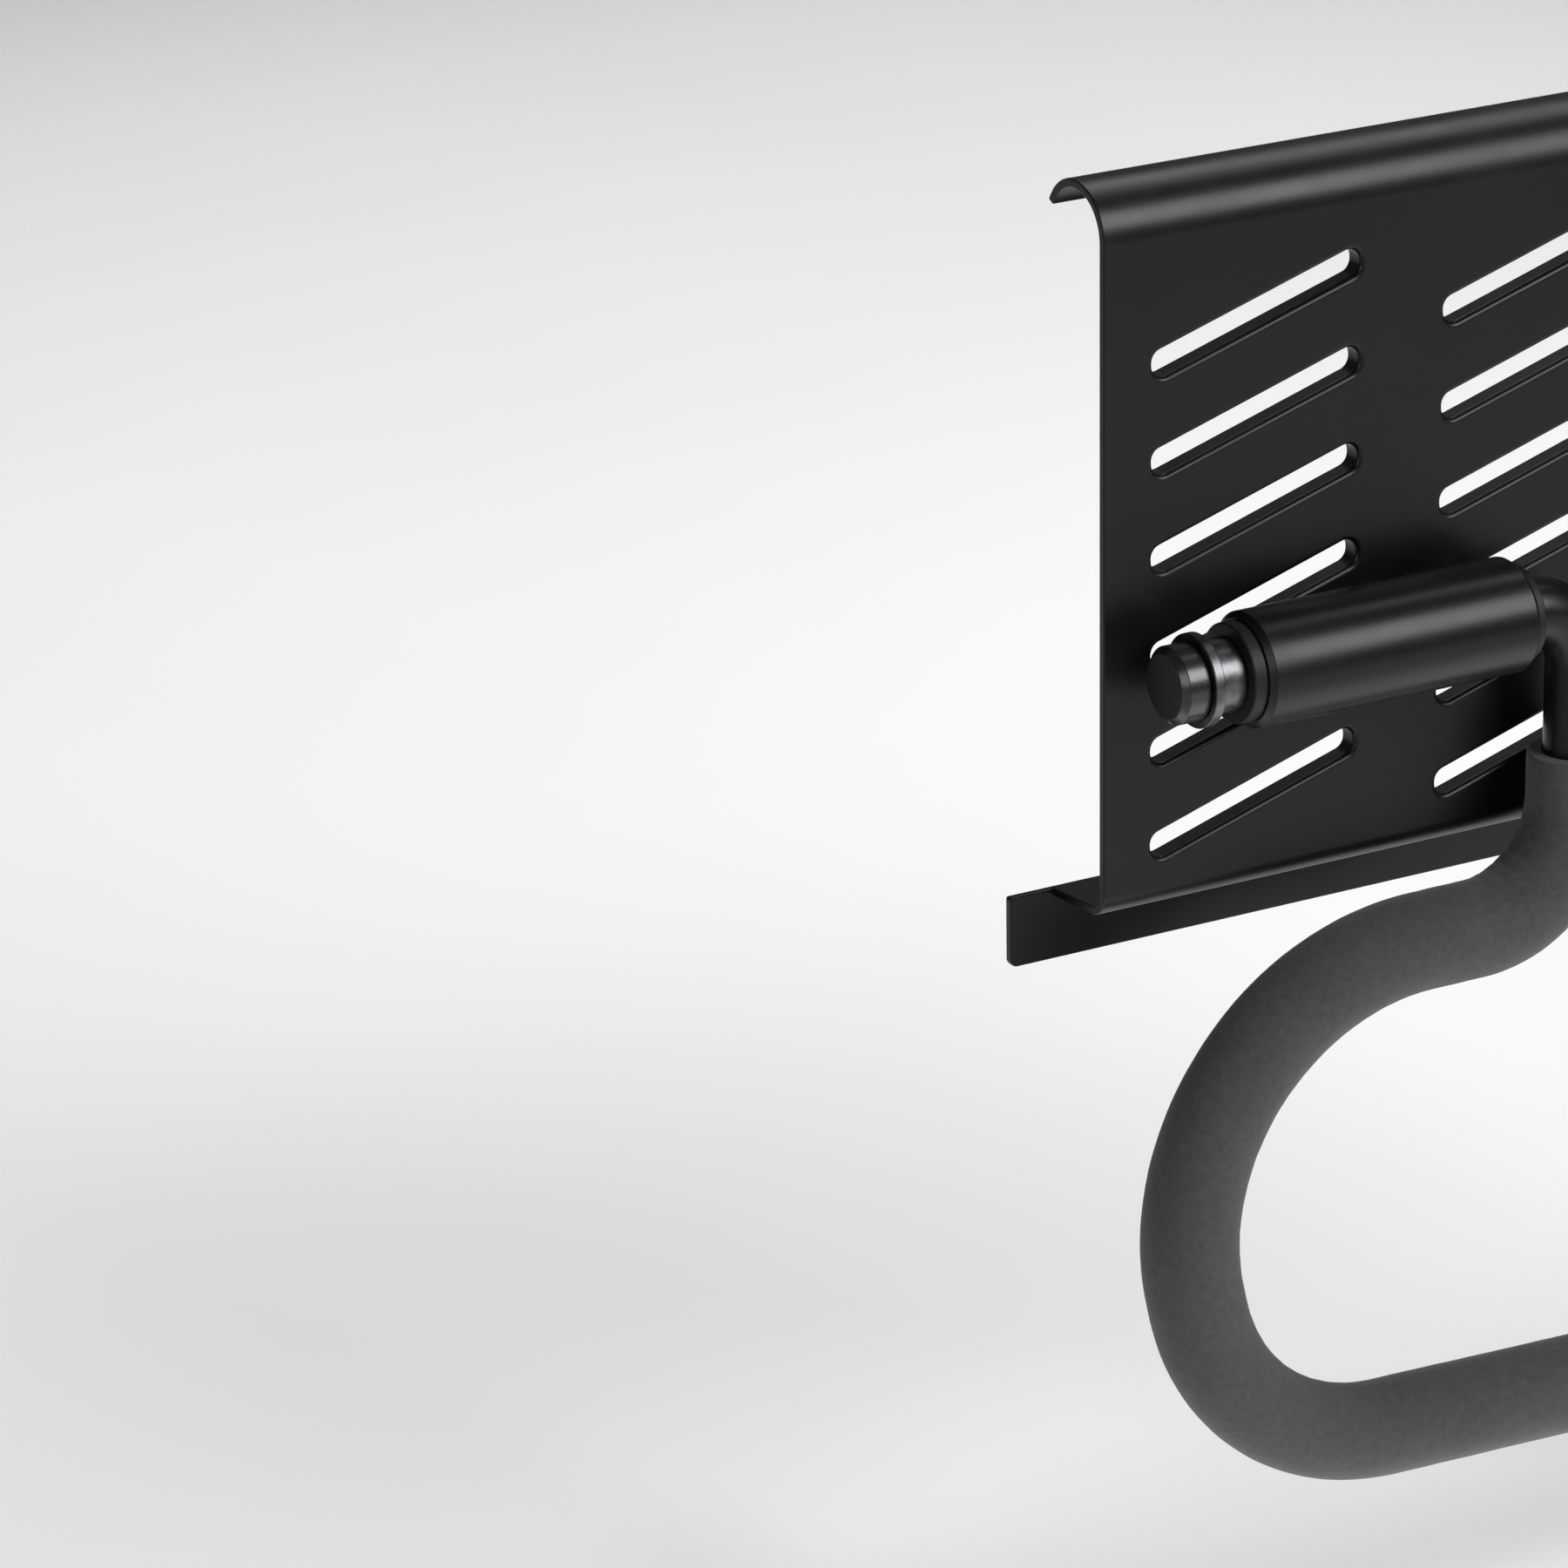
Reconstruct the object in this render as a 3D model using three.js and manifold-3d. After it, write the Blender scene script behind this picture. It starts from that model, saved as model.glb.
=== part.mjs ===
// Folding wall rack for a bicycle, in millimetres, +Z up.
// The wall is the plane Y = 0 and the rack stands out from it towards -Y.
// The origin is the middle of the flat strip that rests on the wall.
import * as THREE from 'three';
import { mergeVertices } from 'three/addons/utils/BufferGeometryUtils.js';
import Module from 'manifold-3d';

const wasm = await Module();
wasm.setup();

// ---- Driving dimensions -------------------------------------------------

const FIT_GAP = 0.3;              // space left between pieces that touch

const SHEET = 2.5;                // thickness of the bent steel sheet
const PLATE_WIDTH = 381;
const PLATE_HEIGHT = 211.7;       // underside of the ledge's rear edge to the top of the curl
const STANDOFF = 31.4;            // wall to the front face of the plate
const CURL_RADIUS = 15.2;         // outside radius of the hook along the top edge
const CURL_END_ANGLE = 25;        // degrees above level where the hook's lip stops
const FOOT_BEND_RADIUS = 7;       // outside radius where the plate turns into its ledge
const LEDGE_DROP = 4.8;           // degrees the ledge slopes down towards the wall

const STRIP_HEIGHT = 21.1;
const STRIP_OVERHANG = 13.1;      // how far the strip passes each side of the plate
const STRIP_CORNER = 2.4;
const STRIP_TUCK = 1.4;           // how far the strip's top edge reaches up behind the ledge's end

const SLOT_COLUMNS = 4;
const SLOT_ROWS = 6;
const SLOT_LENGTH = 66.8;         // measured along X
const SLOT_OPENING = 8.3;         // measured along Z
const SLOT_SLOPE = 0.3085;        // rise along X
const SLOT_CORNER = 3.6;
const SLOT_COLUMN_PITCH = 94.5;
const SLOT_ROW_PITCH = 28;
const SLOT_SIDE_MARGIN = 15.6;
const LOWEST_SLOT = 15.7;         // underside of the ledge's rear edge to the lowest slot corner
const SLOT_LIP = 4;               // depth of the lip formed behind each slot
const SLOT_LIP_WALL = 1.8;

const TUBE_RADIUS = 9.5;
const TUBE_WALL = 1.5;
const FOAM_RADIUS = 14;
const FOAM_START = 45.2;          // pivot axis to the top end of the foam

const PIVOT_HEIGHT = 74.9;        // underside of the ledge's rear edge to the pivot axis
const BARREL_RADIUS = 16.5;
const BARREL_BORE = 13;
const BARREL_INNER_END = 68.2;    // from the middle plane
const BARREL_OUTER_END = 156.8;
const BARREL_CHAMFER = 0.8;

const BUSHING_FLANGE_RADIUS = 14.2;
const OUTER_FLANGE = 3.9;         // flange thickness at the barrel's outer end
const INNER_FLANGE = 2.7;
const BUSHING_DEPTH = 14;

const SHAFT_SLEEVE_RADIUS = 10.5;

const WASHER_RADIUS = 13.3;
const WASHER_THICKNESS = 3;
const WASHER_OFFSET = 13;         // barrel end to the washer's inner face
const CAP_RADIUS = 11.1;
const CAP_LENGTH = 8.4;
const CAP_END_WALL = 2.2;
const CAP_CHAMFER = 1.9;

// The loop's centre line, left half, as corners (from the middle plane, below the pivot axis)
// with the bend radius at each.
const NECK_OFFSET = 44.4;
const NECK_BEND = 19;
const SHOULDER_DROP = 93;
const SHOULDER_BEND = 34;
const SHOULDER_CORNER = 193.5;
const SIDE_BEND = 76;
const FOOT_CORNER = 156.9;
const FOOT_DROP = 240.9;
const FOOT_BEND = 67;
const BAR_DROP = 246.7;
const BAR_BEND = 1000;

// ---- Derived positions --------------------------------------------------

const LEDGE_Z = STRIP_HEIGHT / 2 - STRIP_TUCK;
const FRONT_Y = -STANDOFF;
const BACK_Y = FRONT_Y + SHEET;
const TOP_Z = LEDGE_Z + PLATE_HEIGHT;
const PIVOT_Y = FRONT_Y - BARREL_RADIUS - FIT_GAP;
const PIVOT_Z = LEDGE_Z + PIVOT_HEIGHT;
const FLANGE_END = BARREL_OUTER_END + FIT_GAP + OUTER_FLANGE;
const WASHER_INNER_END = BARREL_OUTER_END + WASHER_OFFSET;
const CAP_INNER_END = WASHER_INNER_END + WASHER_THICKNESS + FIT_GAP;
const SHAFT_END = CAP_INNER_END + CAP_LENGTH - CAP_END_WALL - FIT_GAP;

const TURNED_SIDES = 28;          // facets round each turned piece
const TUBE_SIDES = 14;
const TUBE_BORE_SIDES = 8;
const FOAM_SIDES = 18;
const BEND_STEP = 11.5;           // largest turn between two rings of a bent tube, degrees

// ---- Materials ----------------------------------------------------------

const blackPowderCoat = new THREE.MeshStandardMaterial({ color: 0x1d1d1f, roughness: 0.42, metalness: 0.35 });
const blackNylon = new THREE.MeshStandardMaterial({ color: 0x101011, roughness: 0.55, metalness: 0 });
const bareSteel = new THREE.MeshStandardMaterial({ color: 0x6a6a6c, roughness: 0.3, metalness: 0.9 });
const greyFoam = new THREE.MeshStandardMaterial({ color: 0x3a393b, roughness: 0.95, metalness: 0 });

// ---- Helpers ------------------------------------------------------------

const degrees = THREE.MathUtils.degToRad;

// Rounds the corners of a line of 2-D points. Each corner is { at, radius }, and a closed
// outline has all of its corners rounded. Returns points with the direction of travel at each.
function roundCorners(corners, closed, stepDegrees) {
  const stations = [];
  const count = corners.length;
  corners.forEach((corner, index) => {
    const isEnd = !closed && (index === 0 || index === count - 1);
    const before = corners[(index + count - 1) % count].at;
    const after = corners[(index + 1) % count].at;
    if (isEnd) {
      const from = index === 0 ? corner.at : before;
      const to = index === 0 ? after : corner.at;
      stations.push({ point: corner.at.clone(), heading: to.clone().sub(from).normalize() });
      return;
    }
    const inward = corner.at.clone().sub(before).normalize();
    const outward = after.clone().sub(corner.at).normalize();
    const turn = Math.atan2(inward.cross(outward), inward.dot(outward));
    const tangent = corner.radius * Math.tan(Math.abs(turn) / 2);
    const start = corner.at.clone().addScaledVector(inward, -tangent);
    const side = new THREE.Vector2(-inward.y, inward.x).multiplyScalar(Math.sign(turn));
    const centre = start.clone().addScaledVector(side, corner.radius);
    const steps = Math.max(1, Math.ceil(Math.abs(turn) / degrees(stepDegrees)));
    const origin = new THREE.Vector2(0, 0);
    for (let step = 0; step <= steps; step += 1) {
      const angle = turn * step / steps;
      const point = start.clone().sub(centre).rotateAround(origin, angle).add(centre);
      stations.push({ point, heading: inward.clone().rotateAround(origin, angle) });
    }
  });
  return stations;
}

// A path through given stations, one step of the parameter for each.
class StationPath extends THREE.Curve {
  constructor(stations) {
    super();
    this.stations = stations;
  }

  between(t, field, target) {
    const position = t * (this.stations.length - 1);
    const index = Math.min(Math.floor(position), this.stations.length - 2);
    return target.lerpVectors(this.stations[index][field], this.stations[index + 1][field], position - index);
  }

  getPoint(t, target = new THREE.Vector3()) {
    return this.between(t, 'point', target);
  }

  getTangent(t, target = new THREE.Vector3()) {
    return this.between(t, 'heading', target).normalize();
  }

  getUtoTmapping(u) {
    return u;
  }
}

function circle(radius, sides) {
  const points = [];
  for (let side = 0; side < sides; side += 1) {
    const angle = 2 * Math.PI * side / sides;
    points.push(new THREE.Vector2(radius * Math.cos(angle), radius * Math.sin(angle)));
  }
  return points;
}

// A hollow round section carried along a path.
function hollowSweep(stations, outerRadius, outerSides, innerRadius, innerSides) {
  const section = new THREE.Shape(circle(outerRadius, outerSides));
  section.holes.push(new THREE.Path(circle(innerRadius, innerSides)));
  return new THREE.ExtrudeGeometry(section, {
    extrudePath: new StationPath(stations),
    steps: stations.length - 1,
  });
}

// Extrudes an outline drawn in the Y-Z plane along X, centred on X = 0.
function extrudeAlongX(shape, length, curveSegments) {
  const geometry = new THREE.ExtrudeGeometry(shape, { depth: length, bevelEnabled: false, curveSegments });
  geometry.translate(0, 0, -length / 2);
  const toX = new THREE.Matrix4().makeBasis(
    new THREE.Vector3(0, 1, 0), new THREE.Vector3(0, 0, 1), new THREE.Vector3(1, 0, 0));
  return geometry.applyMatrix4(toX);
}

// Extrudes an outline drawn in the X-Z plane from one Y to a larger one.
function extrudeAlongY(outline, fromY, toY) {
  const geometry = new THREE.ExtrudeGeometry(new THREE.Shape(outline), { depth: toY - fromY, bevelEnabled: false });
  return geometry.rotateX(Math.PI / 2).translate(0, toY, 0);
}

// Turns a closed profile of [distance outwards, radius] about the pivot axis, on one side.
function turned(profile, side) {
  const points = profile.map(([outwards, radius]) => new THREE.Vector2(radius, outwards));
  points.push(points[0].clone());
  return new THREE.LatheGeometry(points, TURNED_SIDES).rotateZ(-side * Math.PI / 2);
}

function toSolid(geometry) {
  const bare = geometry.clone();
  bare.deleteAttribute('normal');
  bare.deleteAttribute('uv');
  const merged = mergeVertices(bare, 1e-4);
  return new wasm.Manifold(new wasm.Mesh({
    numProp: 3,
    vertProperties: new Float32Array(merged.attributes.position.array),
    triVerts: new Uint32Array(merged.index.array),
  }));
}

function toGeometry(solid) {
  const mesh = solid.getMesh();
  const geometry = new THREE.BufferGeometry();
  geometry.setAttribute('position', new THREE.BufferAttribute(new Float32Array(mesh.vertProperties), 3));
  geometry.setIndex(new THREE.BufferAttribute(new Uint32Array(mesh.triVerts), 1));
  geometry.computeVertexNormals();
  return geometry;
}

const rack = new THREE.Group();

function addPiece(name, geometry, material, position = new THREE.Vector3()) {
  const mesh = new THREE.Mesh(geometry, material);
  mesh.name = name;
  mesh.position.copy(position);
  rack.add(mesh);
}

// ---- Back plate: one bent sheet with a hook, a face of slanted slots and a ledge --------

function plateSection() {
  const curlY = FRONT_Y + CURL_RADIUS;
  const curlZ = TOP_Z - CURL_RADIUS;
  const ledgeEnd = -SHEET - FIT_GAP;
  const slope = degrees(LEDGE_DROP);
  const footY = FRONT_Y + FOOT_BEND_RADIUS;
  const footZ = LEDGE_Z + (ledgeEnd - footY) * Math.tan(slope) + FOOT_BEND_RADIUS / Math.cos(slope);
  const lipAngle = degrees(CURL_END_ANGLE);
  const section = new THREE.Shape();
  section.moveTo(ledgeEnd, LEDGE_Z);
  section.lineTo(footY - FOOT_BEND_RADIUS * Math.sin(slope), footZ - FOOT_BEND_RADIUS * Math.cos(slope));
  section.absarc(footY, footZ, FOOT_BEND_RADIUS, -Math.PI / 2 - slope, -Math.PI, true);
  section.lineTo(FRONT_Y, curlZ);
  section.absarc(curlY, curlZ, CURL_RADIUS, Math.PI, lipAngle, true);
  section.absarc(curlY, curlZ, CURL_RADIUS - SHEET, lipAngle, Math.PI, false);
  section.lineTo(BACK_Y, footZ);
  section.absarc(footY, footZ, FOOT_BEND_RADIUS - SHEET, Math.PI, 1.5 * Math.PI - slope, false);
  section.lineTo(ledgeEnd, LEDGE_Z + SHEET / Math.cos(slope));
  section.closePath();
  return section;
}

// The outline of a slot in the X-Z plane, grown outwards by a margin. Its ends are upright
// and its long sides slope. It is centred on the slot's middle.
function slotOutline(margin) {
  const halfLength = SLOT_LENGTH / 2 + margin;
  const halfOpening = SLOT_OPENING / 2 + margin * Math.hypot(1, SLOT_SLOPE);
  const corner = (x, side) => ({
    at: new THREE.Vector2(x, SLOT_SLOPE * x + side * halfOpening),
    radius: SLOT_CORNER + margin,
  });
  const corners = [corner(-halfLength, -1), corner(halfLength, -1), corner(halfLength, 1), corner(-halfLength, 1)];
  return roundCorners(corners, true, 40).map(station => station.point);
}

function slotCentres() {
  const centres = [];
  const firstX = -PLATE_WIDTH / 2 + SLOT_SIDE_MARGIN + SLOT_LENGTH / 2;
  const firstZ = LEDGE_Z + LOWEST_SLOT + SLOT_OPENING / 2 + SLOT_SLOPE * SLOT_LENGTH / 2;
  for (let column = 0; column < SLOT_COLUMNS; column += 1) {
    for (let row = 0; row < SLOT_ROWS; row += 1) {
      centres.push([firstX + column * SLOT_COLUMN_PITCH, 0, firstZ + row * SLOT_ROW_PITCH]);
    }
  }
  return centres;
}

function backPlate() {
  const insideSheet = SHEET / 2;
  const beyond = 1;
  const lip = toSolid(extrudeAlongY(slotOutline(SLOT_LIP_WALL), BACK_Y - insideSheet, BACK_Y + SLOT_LIP));
  const cut = toSolid(extrudeAlongY(slotOutline(0), FRONT_Y - beyond, BACK_Y + SLOT_LIP + beyond));
  let plate = toSolid(extrudeAlongX(plateSection(), PLATE_WIDTH, 6));
  slotCentres().forEach(centre => {
    plate = plate.add(lip.translate(centre));
  });
  slotCentres().forEach(centre => {
    plate = plate.subtract(cut.translate(centre));
  });
  return toGeometry(plate);
}

// ---- Flat strip behind the ledge, which rests on the wall --------

function wallStrip() {
  const halfWidth = PLATE_WIDTH / 2 + STRIP_OVERHANG;
  const halfHeight = STRIP_HEIGHT / 2;
  const corner = (x, z, radius) => ({ at: new THREE.Vector2(x, z), radius });
  const corners = [
    corner(-halfWidth, -halfHeight, STRIP_CORNER),
    corner(halfWidth, -halfHeight, STRIP_CORNER),
    corner(halfWidth, halfHeight, STRIP_CORNER / 3),
    corner(-halfWidth, halfHeight, STRIP_CORNER / 3),
  ];
  const outline = roundCorners(corners, true, 30).map(station => station.point);
  return extrudeAlongY(outline, -SHEET, 0);
}

// ---- Pivot pieces, each turned about the pivot axis --------

function barrel(side) {
  const profile = [
    [BARREL_INNER_END, BARREL_RADIUS - BARREL_CHAMFER],
    [BARREL_INNER_END + BARREL_CHAMFER, BARREL_RADIUS],
    [BARREL_OUTER_END - BARREL_CHAMFER, BARREL_RADIUS],
    [BARREL_OUTER_END, BARREL_RADIUS - BARREL_CHAMFER],
    [BARREL_OUTER_END, BARREL_BORE],
    [BARREL_INNER_END, BARREL_BORE],
  ];
  return turned(profile, side);
}

// A flanged bushing pressed into one end of a barrel; away is +1 where its flange faces outwards.
function bushing(side, barrelEnd, flange, away) {
  const flangeStart = barrelEnd + away * FIT_GAP;
  const flangeEnd = flangeStart + away * flange;
  const sleeveEnd = barrelEnd - away * BUSHING_DEPTH;
  const bore = TUBE_RADIUS + FIT_GAP;
  const sleeve = BARREL_BORE - FIT_GAP;
  const profile = [
    [sleeveEnd, bore],
    [sleeveEnd, sleeve],
    [flangeStart, sleeve],
    [flangeStart, BUSHING_FLANGE_RADIUS],
    [flangeEnd, BUSHING_FLANGE_RADIUS],
    [flangeEnd, bore],
  ];
  return turned(away > 0 ? profile : profile.reverse(), side);
}

// A plain ring that slides on the shaft: the spacer sleeve or the retaining washer.
function ring(side, innerEnd, outerEnd, radius) {
  const bore = TUBE_RADIUS + FIT_GAP;
  return turned([[innerEnd, bore], [innerEnd, radius], [outerEnd, radius], [outerEnd, bore]], side);
}

// A cup pushed over the end of the shaft, with a sloped rim round its closed end.
function endCap(side) {
  const capEnd = CAP_INNER_END + CAP_LENGTH;
  const bore = TUBE_RADIUS + FIT_GAP;
  const profile = [
    [CAP_INNER_END, bore],
    [CAP_INNER_END, CAP_RADIUS],
    [capEnd - CAP_CHAMFER, CAP_RADIUS],
    [capEnd, CAP_RADIUS - CAP_CHAMFER],
    [capEnd, 0],
    [capEnd - CAP_END_WALL, 0],
    [capEnd - CAP_END_WALL, bore],
  ];
  const points = profile.map(([outwards, radius]) => new THREE.Vector2(radius, outwards));
  const fromAxis = [...points.slice(5), ...points.slice(0, 5)];
  return new THREE.LatheGeometry(fromAxis, TURNED_SIDES).rotateZ(-side * Math.PI / 2);
}

// ---- Loop: one bent tube from the left barrel round to the right one, and its foam --------

// The loop's centre line, with its two ends on the neck or the shaft.
function loopStations(startCorners) {
  const corner = (x, z, radius) => ({ at: new THREE.Vector2(x, z), radius });
  const left = [
    ...startCorners.map(([x, z, radius]) => corner(x, z, radius)),
    corner(-NECK_OFFSET, -SHOULDER_DROP, SHOULDER_BEND),
    corner(-SHOULDER_CORNER, -SHOULDER_DROP, SIDE_BEND),
    corner(-FOOT_CORNER, -FOOT_DROP, FOOT_BEND),
  ];
  const middle = corner(0, -BAR_DROP, BAR_BEND);
  const right = left.map(({ at, radius }) => corner(-at.x, at.y, radius)).reverse();
  return roundCorners([...left, middle, ...right], false, BEND_STEP).map(({ point, heading }) => ({
    point: new THREE.Vector3(point.x, 0, point.y),
    heading: new THREE.Vector3(heading.x, 0, heading.y),
  }));
}

function loopTube() {
  const stations = loopStations([[-SHAFT_END, 0, 0], [-NECK_OFFSET, 0, NECK_BEND]]);
  return hollowSweep(stations, TUBE_RADIUS, TUBE_SIDES, TUBE_RADIUS - TUBE_WALL, TUBE_BORE_SIDES);
}

function foamSleeve() {
  const stations = loopStations([[-NECK_OFFSET, -FOAM_START, 0]]);
  return hollowSweep(stations, FOAM_RADIUS, FOAM_SIDES, TUBE_RADIUS + FIT_GAP, TUBE_SIDES);
}

// ---- Assembly -----------------------------------------------------------

const pivot = new THREE.Vector3(0, PIVOT_Y, PIVOT_Z);

addPiece('back_plate', backPlate(), blackPowderCoat);
addPiece('wall_strip', wallStrip(), blackPowderCoat);
[['left', -1], ['right', 1]].forEach(([hand, side]) => {
  addPiece(`pivot_barrel_${hand}`, barrel(side), blackPowderCoat, pivot);
  addPiece(`bushing_outer_${hand}`, bushing(side, BARREL_OUTER_END, OUTER_FLANGE, 1), blackNylon, pivot);
  addPiece(`bushing_inner_${hand}`, bushing(side, BARREL_INNER_END, INNER_FLANGE, -1), blackNylon, pivot);
  const spacer = ring(side, FLANGE_END + FIT_GAP, WASHER_INNER_END - FIT_GAP, SHAFT_SLEEVE_RADIUS);
  const washer = ring(side, WASHER_INNER_END, WASHER_INNER_END + WASHER_THICKNESS, WASHER_RADIUS);
  addPiece(`shaft_spacer_${hand}`, spacer, bareSteel, pivot);
  addPiece(`retaining_washer_${hand}`, washer, bareSteel, pivot);
  addPiece(`end_cap_${hand}`, endCap(side), blackNylon, pivot);
});
addPiece('loop_tube', loopTube(), blackPowderCoat, pivot);
addPiece('foam_sleeve', foamSleeve(), greyFoam, pivot);

export default rack;
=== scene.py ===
# Looks of the folding bicycle wall rack. The builders below work in millimetres in the part's
# own frame, +Z up with the wall at Y = 0, and add_piece() scales their meshes to metres.
import math

import bmesh
import bpy
import numpy as np
from mathutils import Matrix, Vector


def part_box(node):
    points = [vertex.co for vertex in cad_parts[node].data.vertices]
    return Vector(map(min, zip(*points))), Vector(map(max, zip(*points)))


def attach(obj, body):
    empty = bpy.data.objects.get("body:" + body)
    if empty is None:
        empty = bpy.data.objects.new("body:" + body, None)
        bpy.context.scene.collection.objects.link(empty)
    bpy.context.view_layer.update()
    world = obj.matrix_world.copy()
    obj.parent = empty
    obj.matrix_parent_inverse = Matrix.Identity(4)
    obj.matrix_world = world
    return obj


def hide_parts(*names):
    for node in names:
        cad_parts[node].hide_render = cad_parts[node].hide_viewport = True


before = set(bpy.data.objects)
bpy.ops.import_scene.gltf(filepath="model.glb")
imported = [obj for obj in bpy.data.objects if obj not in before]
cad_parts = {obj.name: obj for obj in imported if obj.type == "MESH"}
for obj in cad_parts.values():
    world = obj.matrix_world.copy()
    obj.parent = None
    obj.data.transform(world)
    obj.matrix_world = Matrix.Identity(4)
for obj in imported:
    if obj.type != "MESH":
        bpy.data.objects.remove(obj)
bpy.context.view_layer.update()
MM = 0.001

# ---- Sizes, in millimetres -------------------------------------------------

SHEET = 2.5
CURL_RADIUS = 15.2
CURL_END_ANGLE = 25
FOOT_BEND_RADIUS = 7
LEDGE_DROP = math.radians(4.8)    # slope of the ledge down towards the wall
SHEET_EDGE = 0.45                 # rounding of the sheet's cut edges along the section
END_EDGE = 0.4                    # rounding at the sheet's two ends and round the strip

SLOT_COLUMNS = 4
SLOT_ROWS = 6
SLOT_LENGTH = 66.8
SLOT_OPENING = 8.3
SLOT_SLOPE = 0.3085
SLOT_CORNER = 3.6
SLOT_COLUMN_PITCH = 94.5
SLOT_ROW_PITCH = 28
SLOT_SIDE_MARGIN = 15.6
LOWEST_SLOT = 15.7
SLOT_LIP = 4
SLOT_LIP_WALL = 1.8
SLOT_LIP_FILLET = 1.2             # where the lip meets the sheet's rear face
SLOT_RIM = 1.5                    # rounding of the rim on the front face
LIP_EDGE = 0.4
RIM_BORDER = 0.5                  # flat rings round each slot, on the front and the rear face
FILLET_BORDER = 0.4

STRIP_CORNER = 2.4
TUBE_RADIUS = 9.5
TUBE_WALL = 1.5
FOAM_RADIUS = 14.2                # the CAD sleeve is 14; soft foam swells a little past it
FOAM_START = 45.2
FOAM_RIM = 0.9                    # rounding of the sleeve's cut ends
CREASE_SPACING = 8.5
CREASE_DEPTH = 0.22
BARREL_BORE = 13
BARREL_CHAMFER = 1.6
BARREL_INNER_CHAMFER = 1.3
OUTER_FLANGE = 3.9
INNER_FLANGE = 2.7
BUSHING_DEPTH = 14
CAP_CHAMFER = 1.9
CAP_END_WALL = 2.2
SHAFT_CLEARANCE = 0.05            # between the tube and what sits fast on it
FIT_GAP = 0.3
FLANGE_GAP = 0.05                 # between a bushing's flange and the barrel's end

NECK_OFFSET = 44.4
NECK_BEND = 19
SHOULDER_DROP = 93
SHOULDER_BEND = 34
SHOULDER_CORNER = 193.5
SIDE_BEND = 76
FOOT_CORNER = 156.9
FOOT_DROP = 240.9
FOOT_BEND = 67
BAR_DROP = 246.7
BAR_BEND = 1000

WELD_RADIUS = 1.4
WELD_LENGTH = 20
WELD_STARTS = (72, 100, 128)      # along each barrel, outwards from the middle
STRIP_WELD_RADIUS = 1.3
STRIP_WELD_LENGTH = 14
STRIP_WELD_STARTS = (-172, -104, -36, 22, 90, 158)

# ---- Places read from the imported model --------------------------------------


def box_mm(node):
    low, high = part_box(node)
    return np.array(low) / MM, np.array(high) / MM


plate_low, plate_high = box_mm("back_plate")
strip_low, strip_high = box_mm("wall_strip")
barrel_low, barrel_high = box_mm("pivot_barrel_left")
FRONT_Y = plate_low[1]
BACK_Y = FRONT_Y + SHEET
LEDGE_Z = plate_low[2]
TOP_Z = plate_high[2]
HALF_WIDTH = plate_high[0]
LEDGE_END_Y = -SHEET - FIT_GAP
BARREL_RADIUS = (barrel_high[2] - barrel_low[2]) / 2
PIVOT_Y = (barrel_low[1] + barrel_high[1]) / 2
PIVOT_Z = (barrel_low[2] + barrel_high[2]) / 2


def outward_span(node):
    """A turned piece's inner and outer end, outwards from the middle plane, and its radius."""
    low, high = box_mm(node)
    ends = sorted((abs(low[0]), abs(high[0])))
    return ends[0], ends[1], (high[2] - low[2]) / 2


BARREL_OUTER_END = outward_span("pivot_barrel_left")[1]

# ---- Mesh helpers ------------------------------------------------------------


def add_piece(name, points, faces, materials, body, nodes):
    """Makes an object from millimetre points, hangs it on a body and hides the nodes it stands for."""
    mesh = bpy.data.meshes.new(name)
    mesh.from_pydata((np.asarray(points, float) * MM).tolist(), [], [list(f) for f in faces])
    piece = bpy.data.objects.new(name, mesh)
    bpy.context.scene.collection.objects.link(piece)
    shaped = bmesh.new()
    shaped.from_mesh(mesh)
    bmesh.ops.remove_doubles(shaped, verts=shaped.verts, dist=1e-7)
    bmesh.ops.recalc_face_normals(shaped, faces=shaped.faces)
    shaped.to_mesh(mesh)
    shaped.free()
    mesh.polygons.foreach_set("use_smooth", [True] * len(mesh.polygons))
    for material in materials:
        mesh.materials.append(material)
    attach(piece, body)
    if nodes:
        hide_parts(*nodes)
    return piece


def weigh_normals(piece):
    """Large flat faces keep their own normal, so only the rounded edges shade as curved."""
    modifier = piece.modifiers.new("flat faces stay flat", "WEIGHTED_NORMAL")
    modifier.mode = "FACE_AREA"
    modifier.weight = 100
    modifier.keep_sharp = True


def loft(rings, closed_path=False):
    """Quads between neighbouring rings of equal length, with flat ends unless the path is closed."""
    count = len(rings[0])
    points = np.concatenate(rings)
    faces = []
    spans = len(rings) if closed_path else len(rings) - 1
    for i in range(spans):
        a = i * count
        b = ((i + 1) % len(rings)) * count
        for k in range(count):
            m = (k + 1) % count
            faces.append((a + k, a + m, b + m, b + k))
    if not closed_path:
        faces.append(tuple(range(count)))
        faces.append(tuple(reversed(range(len(points) - count, len(points)))))
    return points, faces


def quarter(steps):
    """Evenly spaced angles from 0 to a right angle."""
    return [math.radians(90 * k / steps) for k in range(steps + 1)]


def turn_between(before, here, after):
    """The headings into and out of a corner, and the signed angle between them."""
    inward = (here - before) / np.linalg.norm(here - before)
    outward = (after - here) / np.linalg.norm(after - here)
    turn = math.atan2(inward[0] * outward[1] - inward[1] * outward[0], inward @ outward)
    return inward, outward, turn


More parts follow.
